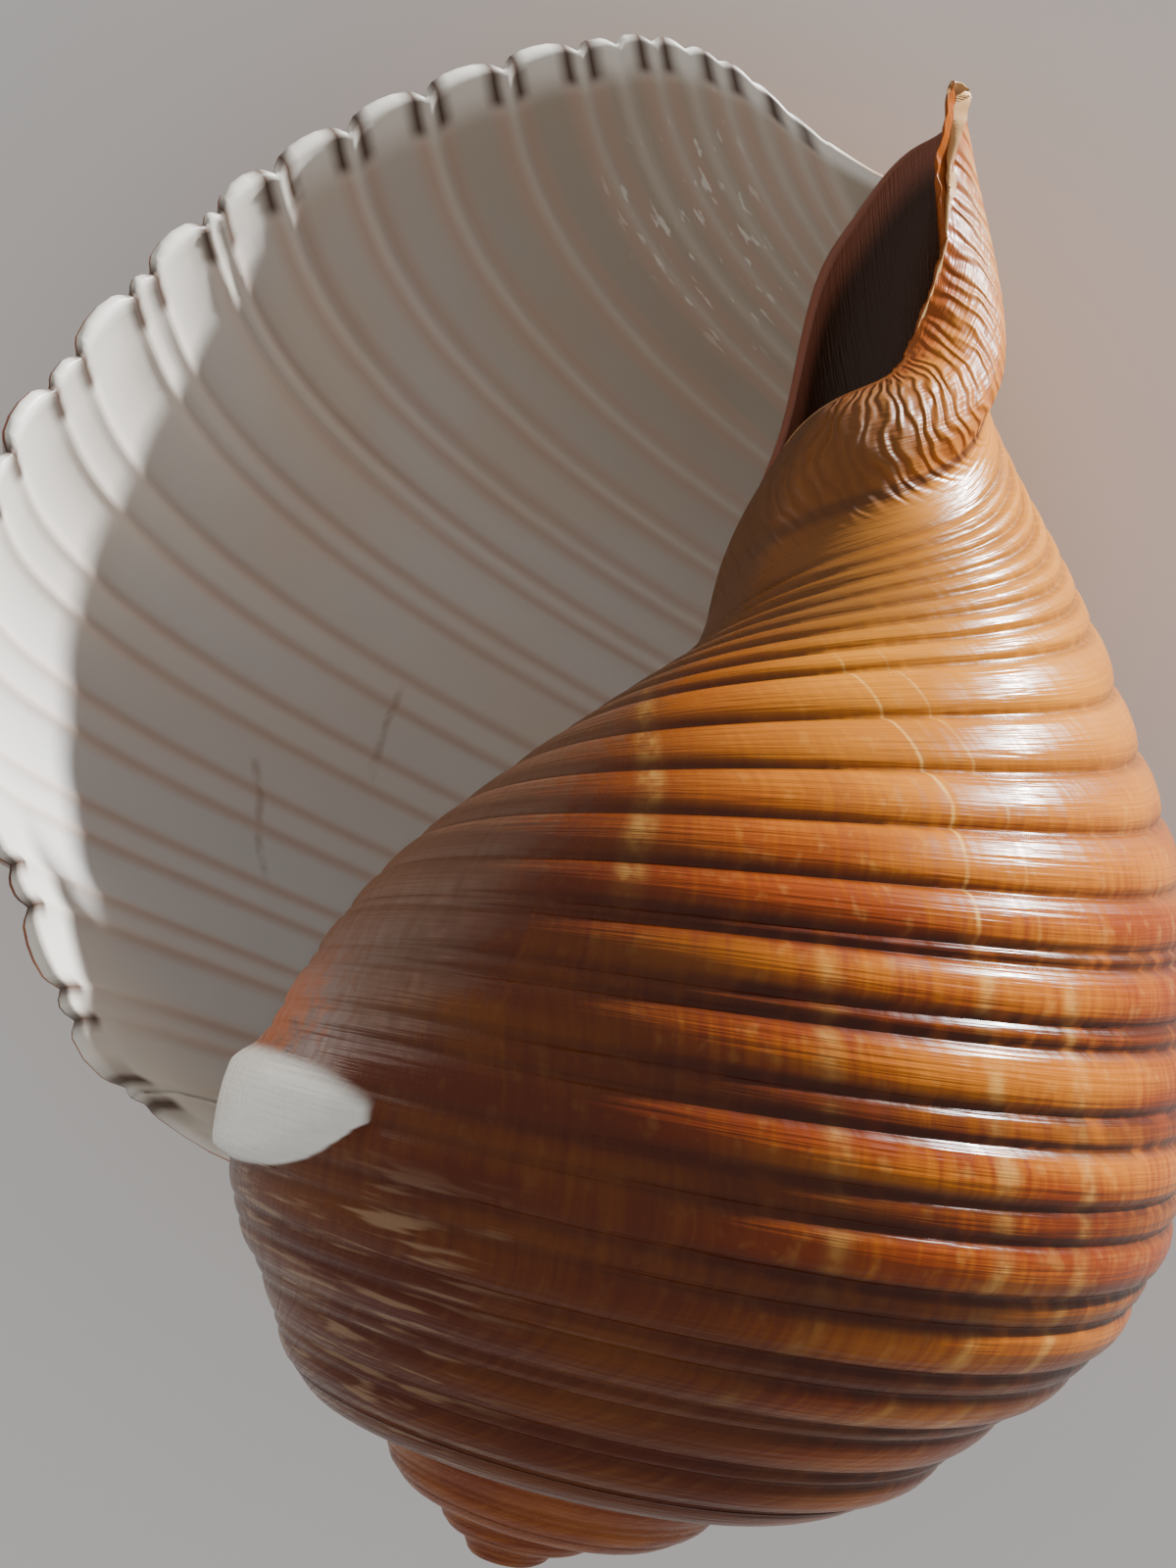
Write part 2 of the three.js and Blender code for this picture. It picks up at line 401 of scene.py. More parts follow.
def rib_shape(arcs):
    """Height of the ribs and darkness of the grooves at each distance along the outline."""
    cut = np.zeros_like(arcs)
    shade = np.zeros_like(arcs)
    for place in groove_arcs():
        cut += np.exp(-(((arcs - place) / GROOVE_WIDTH) ** 2))
        shade += np.exp(-(((arcs - place) / SHADE_WIDTH) ** 2))
    crown = np.zeros_like(arcs)
    spaces = RIB_SPACES + tuple((place, 0.0) for place in NECK_GROOVES)
    for (low, low_half), (high, high_half) in zip(spaces[:-1], spaces[1:]):
        width = high - high_half - low - low_half
        u = np.clip((arcs - low - low_half) / width, 0.0, 1.0)
        crown += min(RIB_CROWN, CROWN_SHARE * width) * (1.0 - np.abs(2.0 * u - 1.0) ** RIB_ROUNDNESS)
    for middle, half in RIB_SPACES:
        if half > 0.0:
            u = np.clip((arcs - middle + half) / (2.0 * half), 0.0, 1.0)
            crown += RIBLET_CROWN * 4.0 * u * (1.0 - u)
            within = half + RIBLET_MARGIN - np.abs(arcs - middle)
            shade += RIBLET_SHADE * smooth_step(within / RIBLET_EDGE)
    fade = smooth_step(arcs / RIBS_IN) * (1.0 - smooth_step((arcs - RIBS_OUT) / RIBS_OUT_SPAN))
    relief = (crown - GROOVE_DEPTH * cut) * (FADED_RIBS + (1.0 - FADED_RIBS) * fade)
    return relief, np.clip(shade, 0.0, 1.0)


def spot_shape(arcs):
    """Darkness of the pair of lines that flank each space between ribs on the inside."""
    spot = np.zeros_like(arcs)
    spaces = RIB_SPACES + tuple((place, 0.0) for place in NECK_GROOVES[1::2])
    for middle, half in spaces:
        offset = max(half, SPOT_HALF)
        for side in (-offset, offset):
            spot += np.exp(-(((arcs - middle - side) / SPOT_WIDTH) ** 2))
    return np.clip(spot, 0.0, 1.0)


def coil_points(outline, angles):
    """Points of the smooth outer surface, for each row and column of growth angles."""
    share = older_share(angles)
    growth = np.exp(GROWTH_RATE * angles)
    radius = (outline[:, 0] + outline[:, 4] * share) * growth
    height = outline[:, 1] * (1.0 + outline[:, 3] * share) * growth - SPIRE_DROP * spire_share(angles)
    return np.stack((radius * np.cos(angles), -radius * np.sin(angles), height), axis=-1)


def surface_normals(outline, angles, points):
    across = np.gradient(points, axis=1)
    onward = coil_points(outline, angles + SMALL_TURN) - points
    normals = np.cross(onward, across)
    return normals / np.maximum(np.linalg.norm(normals, axis=-1, keepdims=True), 1e-12)


def row_angles(lip):
    """Growth angle of every row and column: outer rows up to the lip, and inner rows back from it."""
    columns = np.ones_like(lip)
    old = np.arange(COIL_START, WHOLE_START, OLD_STEP)
    body = np.arange(WHOLE_START, WARP_START, BODY_STEP)
    steady = np.concatenate((old, body))[:, None] * columns
    u = 1.0 - (1.0 - np.linspace(0.0, 1.0, LAST_ROWS)) ** LAST_CROWDING
    outer = np.concatenate((steady, WARP_START + (lip - WARP_START) * u[:, None]))
    v = np.linspace(0.0, 1.0, INNER_ROWS) ** INNER_CROWDING
    near = lip + (WARP_START - lip) * v[:, None]
    deep = np.arange(WARP_START - INNER_STEP, INNER_START, -INNER_STEP)[:, None] * columns
    return outer, np.concatenate((near, deep)), len(old)


def wall_thickness(arcs, angles, since_lip, crest):
    growth = np.exp(GROWTH_RATE * angles)
    wall = np.maximum(THINNEST_WALL, WALL * np.minimum(growth, 1.0))
    to_crest = smooth_step((arcs - CREST_THIN_START) / (crest - CREST_THIN_START))
    from_crest = smooth_step((arcs - crest) / CREST_THIN_END)
    share = 1.0 - (1.0 - CREST_SHARE) * np.where(arcs <= crest, to_crest, 1.0 - from_crest)
    tip = (1.0 - smooth_step(-since_lip / TIP_ANGLE)) * smooth_step((arcs - TIP_START) / TIP_SPAN)
    tip = tip * (1.0 - smooth_step((arcs - crest) / TIP_END))
    share = share + (TIP_SHARE - share) * tip
    thin = (1.0 - smooth_step(-since_lip / LIP_ANGLE)) * (1.0 - tip)
    return wall * share * (1.0 - LIP_THINNING * thin)


def callus_rise(arcs, angles):
    """Share of the callus's thickness at each place."""
    behind = CALLUS_TIP - angles
    narrow = np.exp(-np.maximum(behind, 0.0) / CALLUS_CURVE)
    lower = CALLUS_LOW + (CALLUS_LEVEL - CALLUS_LOW) * narrow
    upper = CALLUS_TOP + (CALLUS_LEVEL - CALLUS_TOP) * narrow
    over_lower = smooth_step((arcs - lower) / CALLUS_LOW_EDGE)
    under_upper = smooth_step((upper + CALLUS_TOP_OVER - arcs) / CALLUS_TOP_EDGE)
    from_tip = smooth_step(behind / CALLUS_TIP_EDGE)
    from_end = smooth_step((angles - CALLUS_END) / CALLUS_END_EDGE)
    return over_lower * under_upper * from_tip * from_end


def crest_swell(arcs, crest, angles, normals):
    """Displacement that rounds the siphonal ridge towards the umbilicus, with small frills."""
    rise = smooth_step((arcs - crest + SWELL_BEFORE) / SWELL_BEFORE)
    fall = 1.0 - smooth_step((arcs - crest - SWELL_LEVEL) / SWELL_AFTER)
    near_tip = smooth_step((angles - SWELL_START) / (SWELL_FULL - SWELL_START))
    wave = angles * FRILL_RATE
    frill = FRILL * sum(size * np.sin(rate * wave + start) for size, rate, start in FRILL_WAVES)
    on_crest = smooth_step((angles - FRILL_START) / FRILL_SPAN)
    on_crest = on_crest * np.exp(-(((arcs - crest) / FRILL_WIDTH) ** 2))
    beyond = np.argmin(np.abs(arcs - crest - SWELL_TOWARDS))
    sideways = normals[:, beyond:beyond + 1, :]
    return sideways * (rise * fall * near_tip * SWELL + frill * on_crest)[..., None]


def outer_surface(outline, arcs, crest, relief, angles):
    """Outer surface with its ribs, and the callus on the whorl inside the mouth."""
    points = coil_points(outline, angles)
    normals = surface_normals(outline, angles, points)
    callus = callus_rise(arcs, angles)
    worn = 1.0 - WORN_SHARE * smooth_step((WORN_START - angles) / WORN_SPAN)
    growth = np.exp(GROWTH_RATE * angles)
    height = relief * growth * worn * (1.0 - callus) + CALLUS_HEIGHT * callus
    return points + normals * height[..., None] + crest_swell(arcs, crest, angles, normals)


def with_apex(points, arcs, angles):
    """Rows whose first whorls close over the axis, after a rounded nucleus that closes the tube."""
    closing = smooth_step((CLOSE_START - angles) / CLOSE_SPAN)
    closing = closing * (1.0 - smooth_step((arcs - arcs[0]) / CLOSE_REACH))
    points[..., :2] *= (1.0 - closing)[..., None]
    first = points[0]
    shown = arcs < OLD_WHORL_END
    heart = first[shown].mean(axis=0)
    backward = (first - points[1])[shown].mean(axis=0)
    backward = backward / np.linalg.norm(backward)
    reach = np.linalg.norm(first[shown] - heart, axis=1).mean() * NUCLEUS_BULGE
    nucleus = [
        heart + (first - heart) * math.cos(rise) + backward * reach * math.sin(rise)
        for rise in NUCLEUS_RISES
    ]
    nucleus_angles = np.repeat(angles[:1], len(nucleus), axis=0)
    return np.concatenate((np.stack(nucleus), points)), np.concatenate((nucleus_angles, angles))


def inner_surface(outline, arcs, crest, relief, lip, angles):
    """Inner surface, one wall further in, with the ribs showing through as shallow flutes."""
    points = coil_points(outline, angles)
    normals = surface_normals(outline, angles, points)
    wall = wall_thickness(arcs, angles, angles - lip, crest)
    flute = relief * INNER_RELIEF * np.exp(GROWTH_RATE * angles)
    points = points + normals * (flute - wall)[..., None]
    return points + INNER_SWELL * crest_swell(arcs, crest, angles, normals)


def rim_rows(outline, lip, outer_edge, inner_edge):
    """Rounded rim between the two edges, which bulges in the direction of growth."""
    forward = coil_points(outline, lip[None, :] + SMALL_TURN)[0] - coil_points(outline, lip[None, :])[0]
    forward = forward / np.linalg.norm(forward, axis=-1, keepdims=True)
    middle = (outer_edge + inner_edge) / 2.0
    half = (outer_edge - inner_edge) / 2.0
    bulge = np.minimum(np.linalg.norm(half, axis=-1, keepdims=True), RIM_BULGE)
    sweeps = [math.pi * turn for turn in RIM_TURNS]
    return np.stack([middle + half * math.cos(a) + forward * bulge * math.sin(a) for a in sweeps])


def to_rest(points):
    """Points in the resting frame, worn flat where the shell lies: nothing reaches below the floor."""
    up = UP / np.linalg.norm(UP)
    siphon = np.array((0.0, 0.0, -1.0))
    along = siphon - siphon.dot(up) * up
    along = along / np.linalg.norm(along)
    across = np.cross(along, up)
    rest = points @ np.array((across, along, up)).T - REST_ORIGIN
    rest[:, 2] = np.maximum(rest[:, 2], 0.0)
    return rest


def make_shell():
    outline, arcs, crest = make_columns()
    relief, groove = rib_shape(arcs)
    lip = outline[:, 2] + SCALLOP * (relief / RIB_CROWN - 1.0) * (arcs < SCALLOP_END)
    outer, inner, old_rows = row_angles(lip)
    outer_points = outer_surface(outline, arcs, crest, relief, outer)
    outer_points, outer = with_apex(outer_points, arcs, outer)
    inner_points = inner_surface(outline, arcs, crest, relief, lip, inner)
    rim = rim_rows(outline, lip, outer_points[-1], inner_points[0])
    grid = np.concatenate((outer_points, rim, inner_points))
    rows, columns = grid.shape[:2]
    outer_rows = len(outer)

    # Values that the materials read at each point.
    rim_angles = np.repeat(lip[None, :], len(rim), axis=0)
    angles = np.concatenate((outer, rim_angles, inner))
    since_lip = angles - lip
    back = BEND_BELOW * np.maximum(BEND - arcs, 0.0) + BEND_ABOVE * np.maximum(arcs - BEND, 0.0)
    on_rim = np.zeros((rows, columns))
    on_rim[outer_rows:outer_rows + len(rim)] = 1.0
    values = {
        "along": arcs,
        "turn": angles,
        "since_lip": since_lip,
        "growth": since_lip + back * smooth_step((BEND_END - arcs) / BEND_FADE),
        "groove": groove,
        "spot": spot_shape(arcs),
        "rim": on_rim,
    }

    # Faces, without the part of the older whorls that the next whorl covers.
    keep = np.ones((rows - 1, columns - 1), bool)
    keep[:old_rows + len(NUCLEUS_RISES), :] = (arcs < OLD_WHORL_END)[None, :-1]
    row, column = np.nonzero(keep)
    first = row * columns + column
    faces = np.stack((first, first + columns, first + columns + 1, first + 1), axis=1)
    used = np.unique(faces)
    renumber = np.full(rows * columns, -1)
    renumber[used] = np.arange(len(used))
    faces = renumber[faces]
    row_of, column_of = np.divmod(used, columns)
    layout = np.stack((column_of / (columns - 1), row_of / (rows - 1)), axis=1)
    layout = BAKE_EDGE + (1.0 - 2.0 * BAKE_EDGE) * layout

    # The second material covers the rim and the inside.
    mesh = bpy.data.meshes.new("shell_visual")
    mesh.from_pydata((to_rest(grid.reshape(-1, 3))[used] * MM).tolist(), [], faces.tolist())
    for name, value in values.items():
        data = np.broadcast_to(value, (rows, columns)).reshape(-1)[used]
        mesh.attributes.new(name, "FLOAT", "POINT").data.foreach_set("value", data.astype(np.float32))
    mesh.uv_layers.new(name=BAKE_MAP).data.foreach_set("uv", layout[faces.reshape(-1)].reshape(-1))
    mesh.update()
    mesh.polygons.foreach_set("use_smooth", [True] * len(mesh.polygons))
    mesh.polygons.foreach_set("material_index", (row >= outer_rows).astype(np.int32))
    return mesh


class Nodes:
    """Short names for the nodes of one material."""

    def __init__(self, material):
        material.use_nodes = True
        self.tree = material.node_tree
        self.tree.nodes.clear()

    def add(self, kind, **settings):
        node = self.tree.nodes.new(kind)
        for name, value in settings.items():
            setattr(node, name, value)
        return node

    def put(self, socket, value):
        if isinstance(value, bpy.types.NodeSocket):
            self.tree.links.new(value, socket)
        elif isinstance(value, tuple) and len(value) == 3 and socket.type == "RGBA":
            socket.default_value = (*value, 1.0)
        else:
            socket.default_value = value

    def attribute(self, name):
        return self.add("ShaderNodeAttribute", attribute_name=name).outputs["Fac"]

    def math(self, operation, a, b=0.0, c=0.0):
        node = self.add("ShaderNodeMath", operation=operation)
        for socket, value in zip(node.inputs, (a, b, c)):
            self.put(socket, value)
        return node.outputs[0]

    def product(self, first, *others):
        for other in others:
            first = self.math("MULTIPLY", first, other)
        return first

    def distance(self, a, b):
        return self.math("ABSOLUTE", self.math("SUBTRACT", a, b))

    def ramp(self, value, low, high, start=0.0, end=1.0):
        """Smooth step from start, where the value is at low, to end, where it is at high."""
        node = self.add("ShaderNodeMapRange", interpolation_type="SMOOTHSTEP")
        for socket, number in zip(node.inputs, (value, low, high, start, end)):
            self.put(socket, number)
        return node.outputs[0]

    def place(self, x, y):
        node = self.add("ShaderNodeCombineXYZ")
        self.put(node.inputs[0], x)
        self.put(node.inputs[1], y)
        return node.outputs[0]

    def noise(self, place, x_scale, y_scale, layer, detail=1.0):
        """Noise at a place whose two directions are scaled apart, each layer with a pattern of its own."""
        scaled = self.add("ShaderNodeVectorMath", operation="MULTIPLY_ADD")
        self.put(scaled.inputs[0], place)
        self.put(scaled.inputs[1], (x_scale, y_scale, 0.0))
        self.put(scaled.inputs[2], (0.0, 0.0, layer))
        node = self.add("ShaderNodeTexNoise")
        self.put(node.inputs["Vector"], scaled.outputs[0])
        self.put(node.inputs["Scale"], 1.0)
        self.put(node.inputs["Detail"], detail)
        return node.outputs["Fac"]

    def mix(self, share, a, b):
        """Mix of two colours, which are the node's seventh and eighth inputs and its third output."""
        node = self.add("ShaderNodeMix", data_type="RGBA")
        self.put(node.inputs[0], share)
        self.put(node.inputs[6], a)
        self.put(node.inputs[7], b)
        return node.outputs[2]

    def finish(self, colour, roughness, height=None):
        """Surface with this colour and roughness and, where there is a height, fine relief."""
        surface = self.add("ShaderNodeBsdfPrincipled")
        self.put(surface.inputs["Base Color"], colour)
        self.put(surface.inputs["Roughness"], roughness)
        self.put(surface.inputs["Specular IOR Level"], GLOSS)
        if height is not None:
            bump = self.add("ShaderNodeBump")
            self.put(bump.inputs["Strength"], RELIEF_STRENGTH)
            self.put(bump.inputs["Distance"], RELIEF_DEPTH)
            self.put(bump.inputs["Height"], height)
            self.put(surface.inputs["Normal"], bump.outputs["Normal"])
        output = self.add("ShaderNodeOutputMaterial")
        self.put(output.inputs["Surface"], surface.outputs["BSDF"])


def growth_patterns(n):
    """Places along growth and the outline, straight and wavering, and two noises for both materials."""
    along = n.attribute("along")
    onward = n.math("MULTIPLY", n.attribute("growth"), MM_PER_RADIAN)
    straight = n.place(onward, along)
    wobble = n.noise(straight, 0.05, 0.06, 0.0)
    wavering = n.place(n.math("MULTIPLY_ADD", wobble, WAVER, onward), along)
    fleck = n.noise(wavering, 0.4, 0.30, 7.0, 2.0)
    return straight, wavering, wobble, fleck


def callus_mask(n, along, turn):
    """White callus: a wedge whose edges spread from its tip."""
    behind = n.math("SUBTRACT", CALLUS_TIP, turn)
    narrow = n.math("EXPONENT", n.math("DIVIDE", n.math("MAXIMUM", behind, 0.0), -CALLUS_CURVE))
    lower = n.math("MULTIPLY_ADD", narrow, CALLUS_LEVEL - CALLUS_LOW, CALLUS_LOW)
    upper = n.math("MULTIPLY_ADD", narrow, CALLUS_LEVEL - CALLUS_TOP, CALLUS_TOP)
    over_lower = n.ramp(n.math("SUBTRACT", along, lower), 0.2, 0.9)
    under_upper = n.ramp(n.math("SUBTRACT", along, upper), 3.0, 0.0)
    return n.product(over_lower, under_upper, n.ramp(behind, 0.0, 0.03), n.ramp(turn, -7.1, -6.8))


# In the ramps of both materials, limits of along are mm from the shoulder along the outline, limits of
# turn and since_lip are growth angles, and limits of a noise lie between 0 and 1.
def make_outside_material():
    material = bpy.data.materials.new("shell_outside")
    n = Nodes(material)
    along = n.attribute("along")
    turn = n.attribute("turn")
    since_lip = n.attribute("since_lip")
    growth = n.attribute("growth")
    groove = n.attribute("groove")
    straight, wavering, _, fleck = growth_patterns(n)

    # Streaks along the growth lines and broad patches of red brown, golden towards the base.
    streak = n.noise(wavering, 0.8, 0.05, 0.0, 2.0)
    patch = n.noise(straight, 0.03, 0.10, 3.0)
    redness = n.math("MULTIPLY_ADD", streak, 0.32, n.math("MULTIPLY", patch, 0.68))
    colour = n.mix(n.ramp(redness, 0.33, 0.62), RIB_GOLD, RIB_RED)
    colour = n.mix(n.ramp(fleck, 0.54, 0.74, 0.0, 0.15), colour, STRIPE_PALE)
    colour = n.mix(n.ramp(along, 92.0, 140.0, 0.0, 0.60), colour, BASE_GOLD)
    reddened = n.product(n.ramp(turn, -4.20, -4.80), n.ramp(along, 84.0, 102.0, 0.0, 0.60))
    colour = n.mix(reddened, colour, RIB_RED)

    # Pale growth stripes, broken by flecks.
    broken = n.ramp(fleck, 0.36, 0.60, 0.30, 1.0)
    for low, high, stripes in GROWTH_STRIPES:
        pale = 0.0
        for angle, width, strength in stripes:
            pale = n.math("MAXIMUM", n.ramp(n.distance(growth, angle), width, 0.0, 0.0, strength), pale)
        reach = n.product(n.ramp(along, low, low + STRIPE_FADE), n.ramp(along, high, high - STRIPE_FADE))
        colour = n.mix(n.product(pale, reach, broken), colour, STRIPE_PALE)

    # The older half of the body is deep maroon, partly its own colour and partly painted shade of its shaded
    # side, up to a slanting edge that the grooves cut into, and its grooves are worn faint.
    slant = n.math("MULTIPLY_ADD", along, MAROON_SHADE_LEAN, n.math("MULTIPLY_ADD", patch, MAROON_SHADE_RAGGED, turn))
    old = n.ramp(n.math("MULTIPLY_ADD", groove, -MAROON_SHADE_GROOVED, slant), -3.20, -3.80)
    faint_old = n.ramp(slant, -3.40, -3.90, 0.0, 0.62)
    faint = n.math("MAXIMUM", faint_old, n.ramp(along, 84.0, 112.0, 0.0, 0.40))
    dash = n.noise(wavering, 0.28, 0.2, 2.0)
    inked = n.product(groove, n.math("SUBTRACT", 0.90, faint), n.ramp(dash, 0.30, 0.55, 0.55, 1.0))
    colour = n.mix(inked, colour, GROOVE_BROWN)
    # Deep maroon: partly the shell's own colour, partly painted shade of the body's shaded side.
    colour = n.mix(n.product(old, n.ramp(turn, -7.2, -6.6, 0.0, 0.75)), colour, MAROON_AND_SHADE)
    # Pale streaks along the lower ribs: partly scuffed wear, partly painted highlight on the rib crests.
    scuff_and_glint_noise = n.noise(straight, 0.06, 0.6, 4.0, 2.0)
    scuff_and_glint = n.product(n.ramp(scuff_and_glint_noise, 0.53, 0.66, 0.0, 0.7), n.ramp(along, 56.0, 44.0))
    scuff_and_glint = n.product(scuff_and_glint, n.ramp(turn, -4.55, -4.95), n.ramp(turn, -6.6, -6.2))
    colour = n.mix(scuff_and_glint, colour, SCUFF_AND_HIGHLIGHT_PALE)
    colour = n.mix(n.ramp(turn, -6.2, -6.9, 0.0, 0.55), colour, SPIRE_RED)

    # Crescent folds of former notches on the siphonal ridge, tan at the tip, and brown painted shade on the
    # neck below.
    ridge = n.product(n.ramp(along, 163.0, 169.0), n.ramp(along, CREST_ARC - 0.5, CREST_ARC - 3.5))
    wander = n.math("MULTIPLY", n.noise(straight, 0.08, 0.15, 9.0), FOLD_WANDER)
    wave = n.math("SINE", n.math("MULTIPLY_ADD", since_lip, FOLDS, wander))
    folds = n.product(n.math("MULTIPLY_ADD", wave, 0.5, 0.5), ridge)
    # Gold on the ridge, red between the fold crests and tan on the crests near the tip: partly the ridge's
    # own colours, partly painted shade in the folds' troughs and painted highlight on their crests.
    colour = n.mix(n.math("MULTIPLY", ridge, 0.5), colour, RIB_GOLD)
    colour = n.mix(n.product(n.math("SUBTRACT", ridge, folds), 0.5), colour, RIB_RED)
    colour = n.mix(n.product(n.ramp(turn, -3.1, -2.3, 0.0, 0.6), folds), colour, TIP_TAN)
    colour = n.mix(n.ramp(along, 185.0, 189.5, 0.0, 0.8), colour, RIB_RED)
    # Dark line along the crease: painted shadow under the overhanging ridge.
    crease_shadow = n.product(n.ramp(n.distance(along, CREASE_SHADOW_PLACE), 1.6, 0.3, 0.0, 0.75), n.ramp(turn, -2.4, -3.0))
    colour = n.mix(crease_shadow, colour, GROOVE_BROWN)
    # Brown on the neck's left side: painted shade.
    neck_shade = n.product(n.ramp(turn, -3.4, -4.4), n.ramp(along, 136.0, 150.0, 0.0, 0.75))
    colour = n.mix(neck_shade, colour, NECK_PAINTED_SHADE)

    # Thin brown glaze, partly painted shade of the whorl's shaded side, and the white callus on the whorl
    # beside the mouth, and painted shade darkening the umbilicus.
    edge = n.math("MULTIPLY_ADD", fleck, 0.5, turn)
    glaze_and_shade = n.product(n.ramp(edge, -4.60, -5.00), n.ramp(along, 62.0, 80.0), n.ramp(turn, -8.5, -8.0))
    colour = n.mix(n.math("MULTIPLY", glaze_and_shade, 0.75), colour, GLAZE_AND_SHADE_BROWN)
    worn = n.product(n.ramp(along, 58.0, 64.0), n.ramp(along, 92.0, 74.0), n.ramp(fleck, 0.35, 0.60))
    colour = n.mix(n.product(worn, n.ramp(edge, -4.85, -5.20)), colour, WORN_LILAC)
    red_edge = n.product(n.ramp(along, 86.0, 66.0), n.ramp(along, 58.0, 63.0))
    colour = n.mix(n.product(red_edge, n.ramp(edge, -5.10, -5.35, 0.0, 0.8)), colour, PARIETAL_RED)
    colour = n.mix(callus_mask(n, along, turn), colour, CALLUS_WHITE)
    # Dark brown deep in the umbilicus is painted shade; red on the columella towards the lip.
    umbilicus_shade = n.mix(n.ramp(since_lip, -0.30, -0.05), UMBILICUS_SHADE_BROWN, COLUMELLA_RED)
    colour = n.mix(n.ramp(along, CREST_ARC + 0.5, CREST_ARC + 5.0), colour, umbilicus_shade)

    # Fine spiral lines and the crescent folds as relief. The ridge and the glaze are duller.
    stria = n.noise(straight, 0.05, 1.5, 6.0, 2.0)
    height = n.math("MULTIPLY_ADD", stria, 0.45, n.math("MULTIPLY", folds, 0.7))
    rough = n.math("MULTIPLY_ADD", ridge, 0.15, n.ramp(streak, 0.3, 0.7, 0.20, 0.32))
    n.finish(colour, n.math("MULTIPLY_ADD", glaze_and_shade, 0.35, rough), height)
    return material


def make_lining_material():
    material = bpy.data.materials.new("shell_lining")
    n = Nodes(material)
    along = n.attribute("along")
    turn = n.attribute("turn")
    since_lip = n.attribute("since_lip")
    groove = n.attribute("groove")
    spot = n.attribute("spot")
    straight, _, wobble, fleck = growth_patterns(n)

    # Grey taupe, darker towards the siphonal end, with pinkish lines in pairs, partly their own colour and
    # partly painted shade of the flutes.
    cloud = n.noise(straight, 0.03, 0.05, 5.0)
    colour = n.mix(n.ramp(cloud, 0.35, 0.65, 0.25, 0.60), INSIDE_GREY, INSIDE_BLUE)
    colour = n.mix(n.ramp(along, 84.0, 140.0, 0.0, 0.85), colour, INSIDE_OLIVE)
    colour = n.mix(n.ramp(along, 80.0, 35.0, 0.0, 0.8), colour, INSIDE_BLUE)
    colour = n.mix(n.math("MULTIPLY", groove, 0.30), colour, INSIDE_LIGHT)
    colour = n.mix(n.math("MULTIPLY", spot, 0.68), colour, INSIDE_PINK_AND_SHADE)

    # Broken brown stain lines, and pale scratches near the siphonal end.
    across = n.math("MULTIPLY_ADD", wobble, STAIN_WAVER, turn)
    broken = n.ramp(fleck, 0.36, 0.56, 0.08, 0.36)
    for line, slope, low, high in STAINS:
        middle = n.math("MULTIPLY_ADD", along, slope, line - low * slope)
        reach = n.product(n.ramp(along, low, low + STAIN_FADE), n.ramp(along, high, high - STAIN_FADE))
        stain = n.product(n.ramp(n.distance(across, middle), 0.018, 0.002), reach, broken)
        colour = n.mix(stain, colour, STAIN_BROWN)
    scratch = n.ramp(n.noise(straight, 0.16, 1.0, 8.0, 2.0), 0.60, 0.68, 0.0, 0.7)
    scratch = n.product(scratch, n.ramp(along, 131.0, 136.0), n.ramp(along, 152.0, 147.0))
    scratch = n.product(scratch, n.ramp(turn, -1.1, -0.9), n.ramp(turn, -0.2, -0.35))
    colour = n.mix(scratch, colour, LIP_CREAM)

    # Cream towards the lip with brown spots at its edge, tan at the siphonal tip, red on the columella.
    colour = n.mix(n.ramp(since_lip, -0.12, -0.02), colour, LIP_CREAM)
    # Cream reaching deeper inside on the left: partly the lip's own colour, partly painted light where the
    # key falls on the lip band.
    cream_and_painted_light = n.product(n.ramp(since_lip, -0.75, -0.10, 0.0, 0.8), n.ramp(along, 105.0, 75.0))
    colour = n.mix(cream_and_painted_light, colour, LIP_CREAM)
    spotted = n.product(spot, n.ramp(since_lip, -0.10, -0.06, 0.0, 0.95), n.ramp(along, 164.0, 156.0))
    colour = n.mix(spotted, colour, SPOT_BROWN)
    rim = n.product(n.ramp(along, 158.0, 168.0), n.attribute("rim"))
    colour = n.mix(n.math("MAXIMUM", rim, n.ramp(along, 177.0, 185.0)), colour, TIP_TAN)
    colour = n.mix(n.ramp(along, CREST_ARC + 0.5, CREST_ARC + 5.0), colour, COLUMELLA_RED)
    n.finish(colour, n.ramp(cloud, 0.3, 0.7, 0.34, 0.40))
    return material


def make_floor_material():
    material = bpy.data.materials.new("floor")
    Nodes(material).finish(FLOOR_COLOUR, FLOOR_ROUGHNESS)
    return material


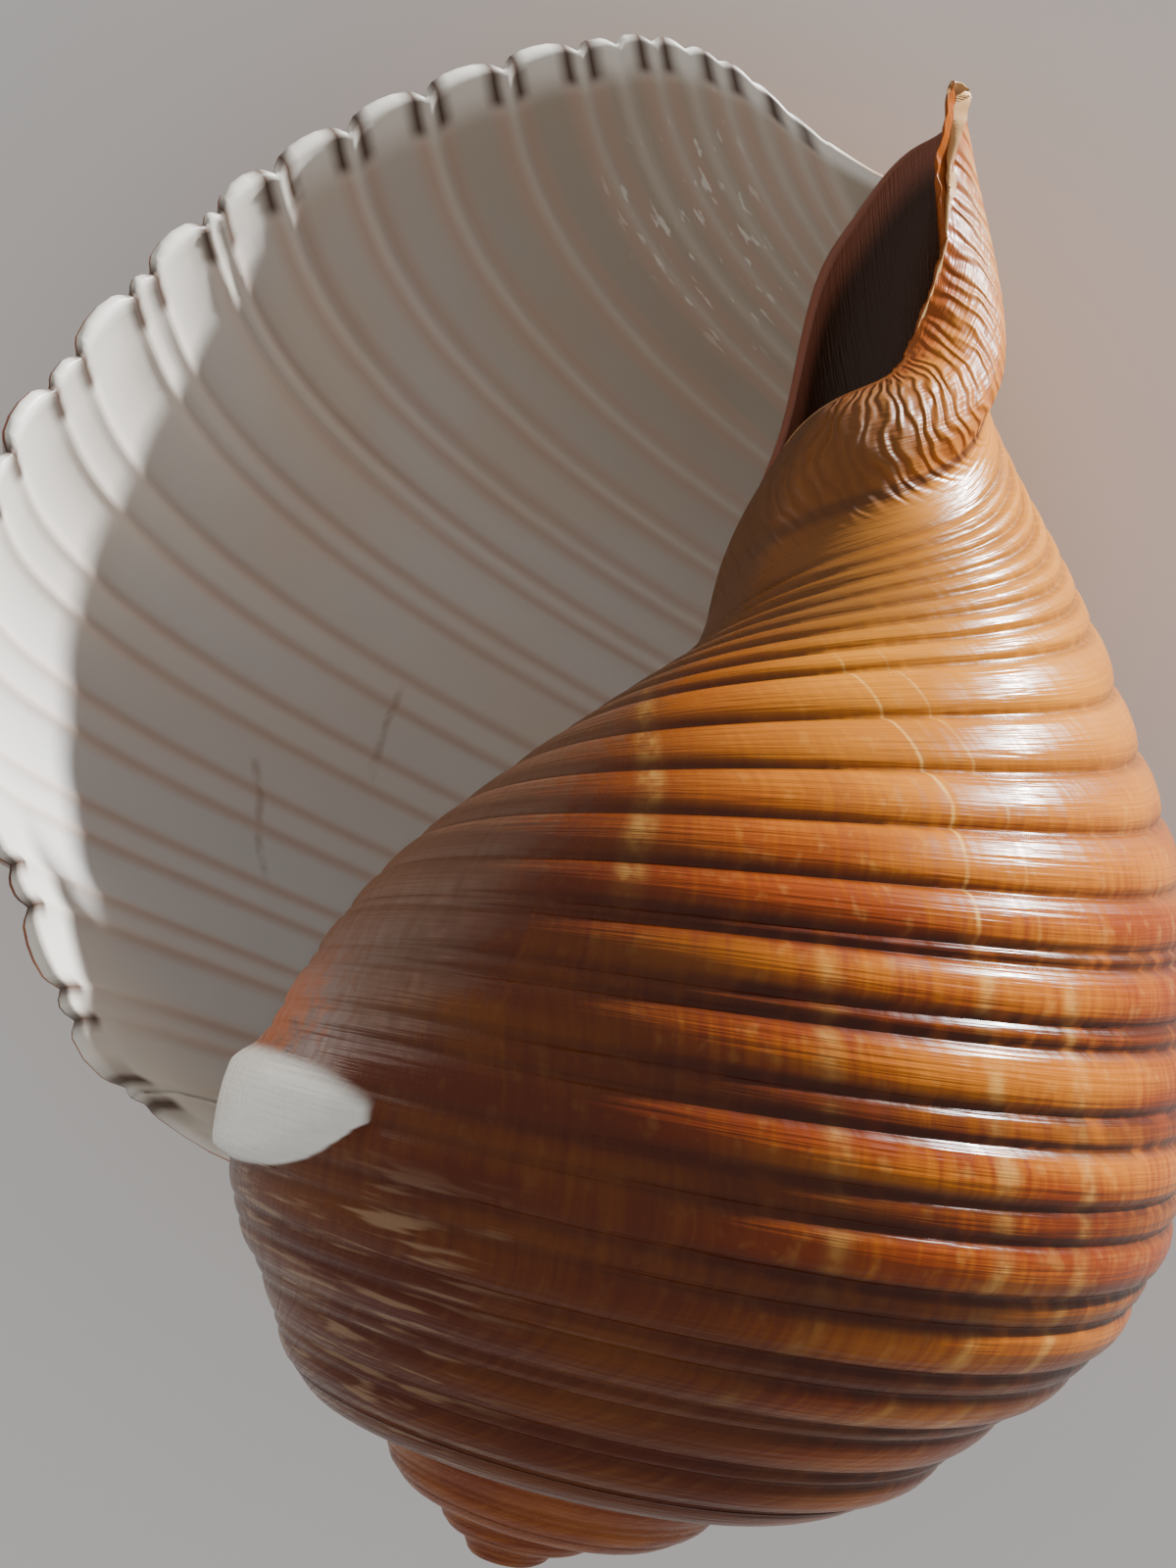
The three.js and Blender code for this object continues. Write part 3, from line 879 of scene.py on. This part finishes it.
def floor_circle(radius):
    turns = [2.0 * math.pi * k / FLOOR_SIDES for k in range(FLOOR_SIDES)]
    return [(radius * math.cos(a), radius * math.sin(a), 0.0) for a in turns]


def add_floor(name, corners, faces, material):
    mesh = bpy.data.meshes.new(name)
    mesh.from_pydata(corners, [], faces)
    mesh.materials.append(material)
    floor = bpy.data.objects.new(name, mesh)
    bpy.context.scene.collection.objects.link(floor)
    return floor


def make_floor():
    """The floor close to the shell casts shadows. The floor further out lets the low key light through."""
    material = make_floor_material()
    near = floor_circle(NEAR_FLOOR)
    far = floor_circle(FAR_FLOOR)
    add_floor("floor_near", near, [tuple(range(FLOOR_SIDES))], material)
    ring = []
    for k in range(FLOOR_SIDES):
        after = (k + 1) % FLOOR_SIDES
        ring.append((k, k + FLOOR_SIDES, after + FLOOR_SIDES, after))
    add_floor("floor_far", near + far, ring, material).visible_shadow = False


def make_camera():
    data = bpy.data.cameras.new("camera")
    data.lens = CAMERA_LENS
    data.sensor_width = SENSOR
    data.clip_start = NEAREST_SEEN
    camera = bpy.data.objects.new("camera", data)
    camera.location = CAMERA_PLACE
    camera.rotation_euler = [math.radians(angle) for angle in CAMERA_TURN]
    bpy.context.scene.collection.objects.link(camera)
    bpy.context.scene.camera = camera


def make_light():
    data = bpy.data.lights.new("key", "AREA")
    data.shape = "DISK"
    data.size = KEY_SIZE
    data.energy = KEY_POWER
    light = bpy.data.objects.new("key", data)
    light.location = KEY_AIM + KEY_FROM.normalized() * KEY_DISTANCE
    light.rotation_euler = KEY_FROM.to_track_quat("Z", "Y").to_euler()
    bpy.context.scene.collection.objects.link(light)


def make_surround():
    world = bpy.data.worlds.new("surround")
    world.use_nodes = True
    background = world.node_tree.nodes["Background"]
    background.inputs["Color"].default_value = (*SURROUND, 1.0)
    background.inputs["Strength"].default_value = SURROUND_STRENGTH
    bpy.context.scene.world = world


shell = bpy.data.objects.new("shell_visual", make_shell())
bpy.context.scene.collection.objects.link(shell)
shell.data.materials.append(make_outside_material())
shell.data.materials.append(make_lining_material())
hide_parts("shell")
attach(shell, "root")
make_floor()
make_camera()
make_light()
make_surround()
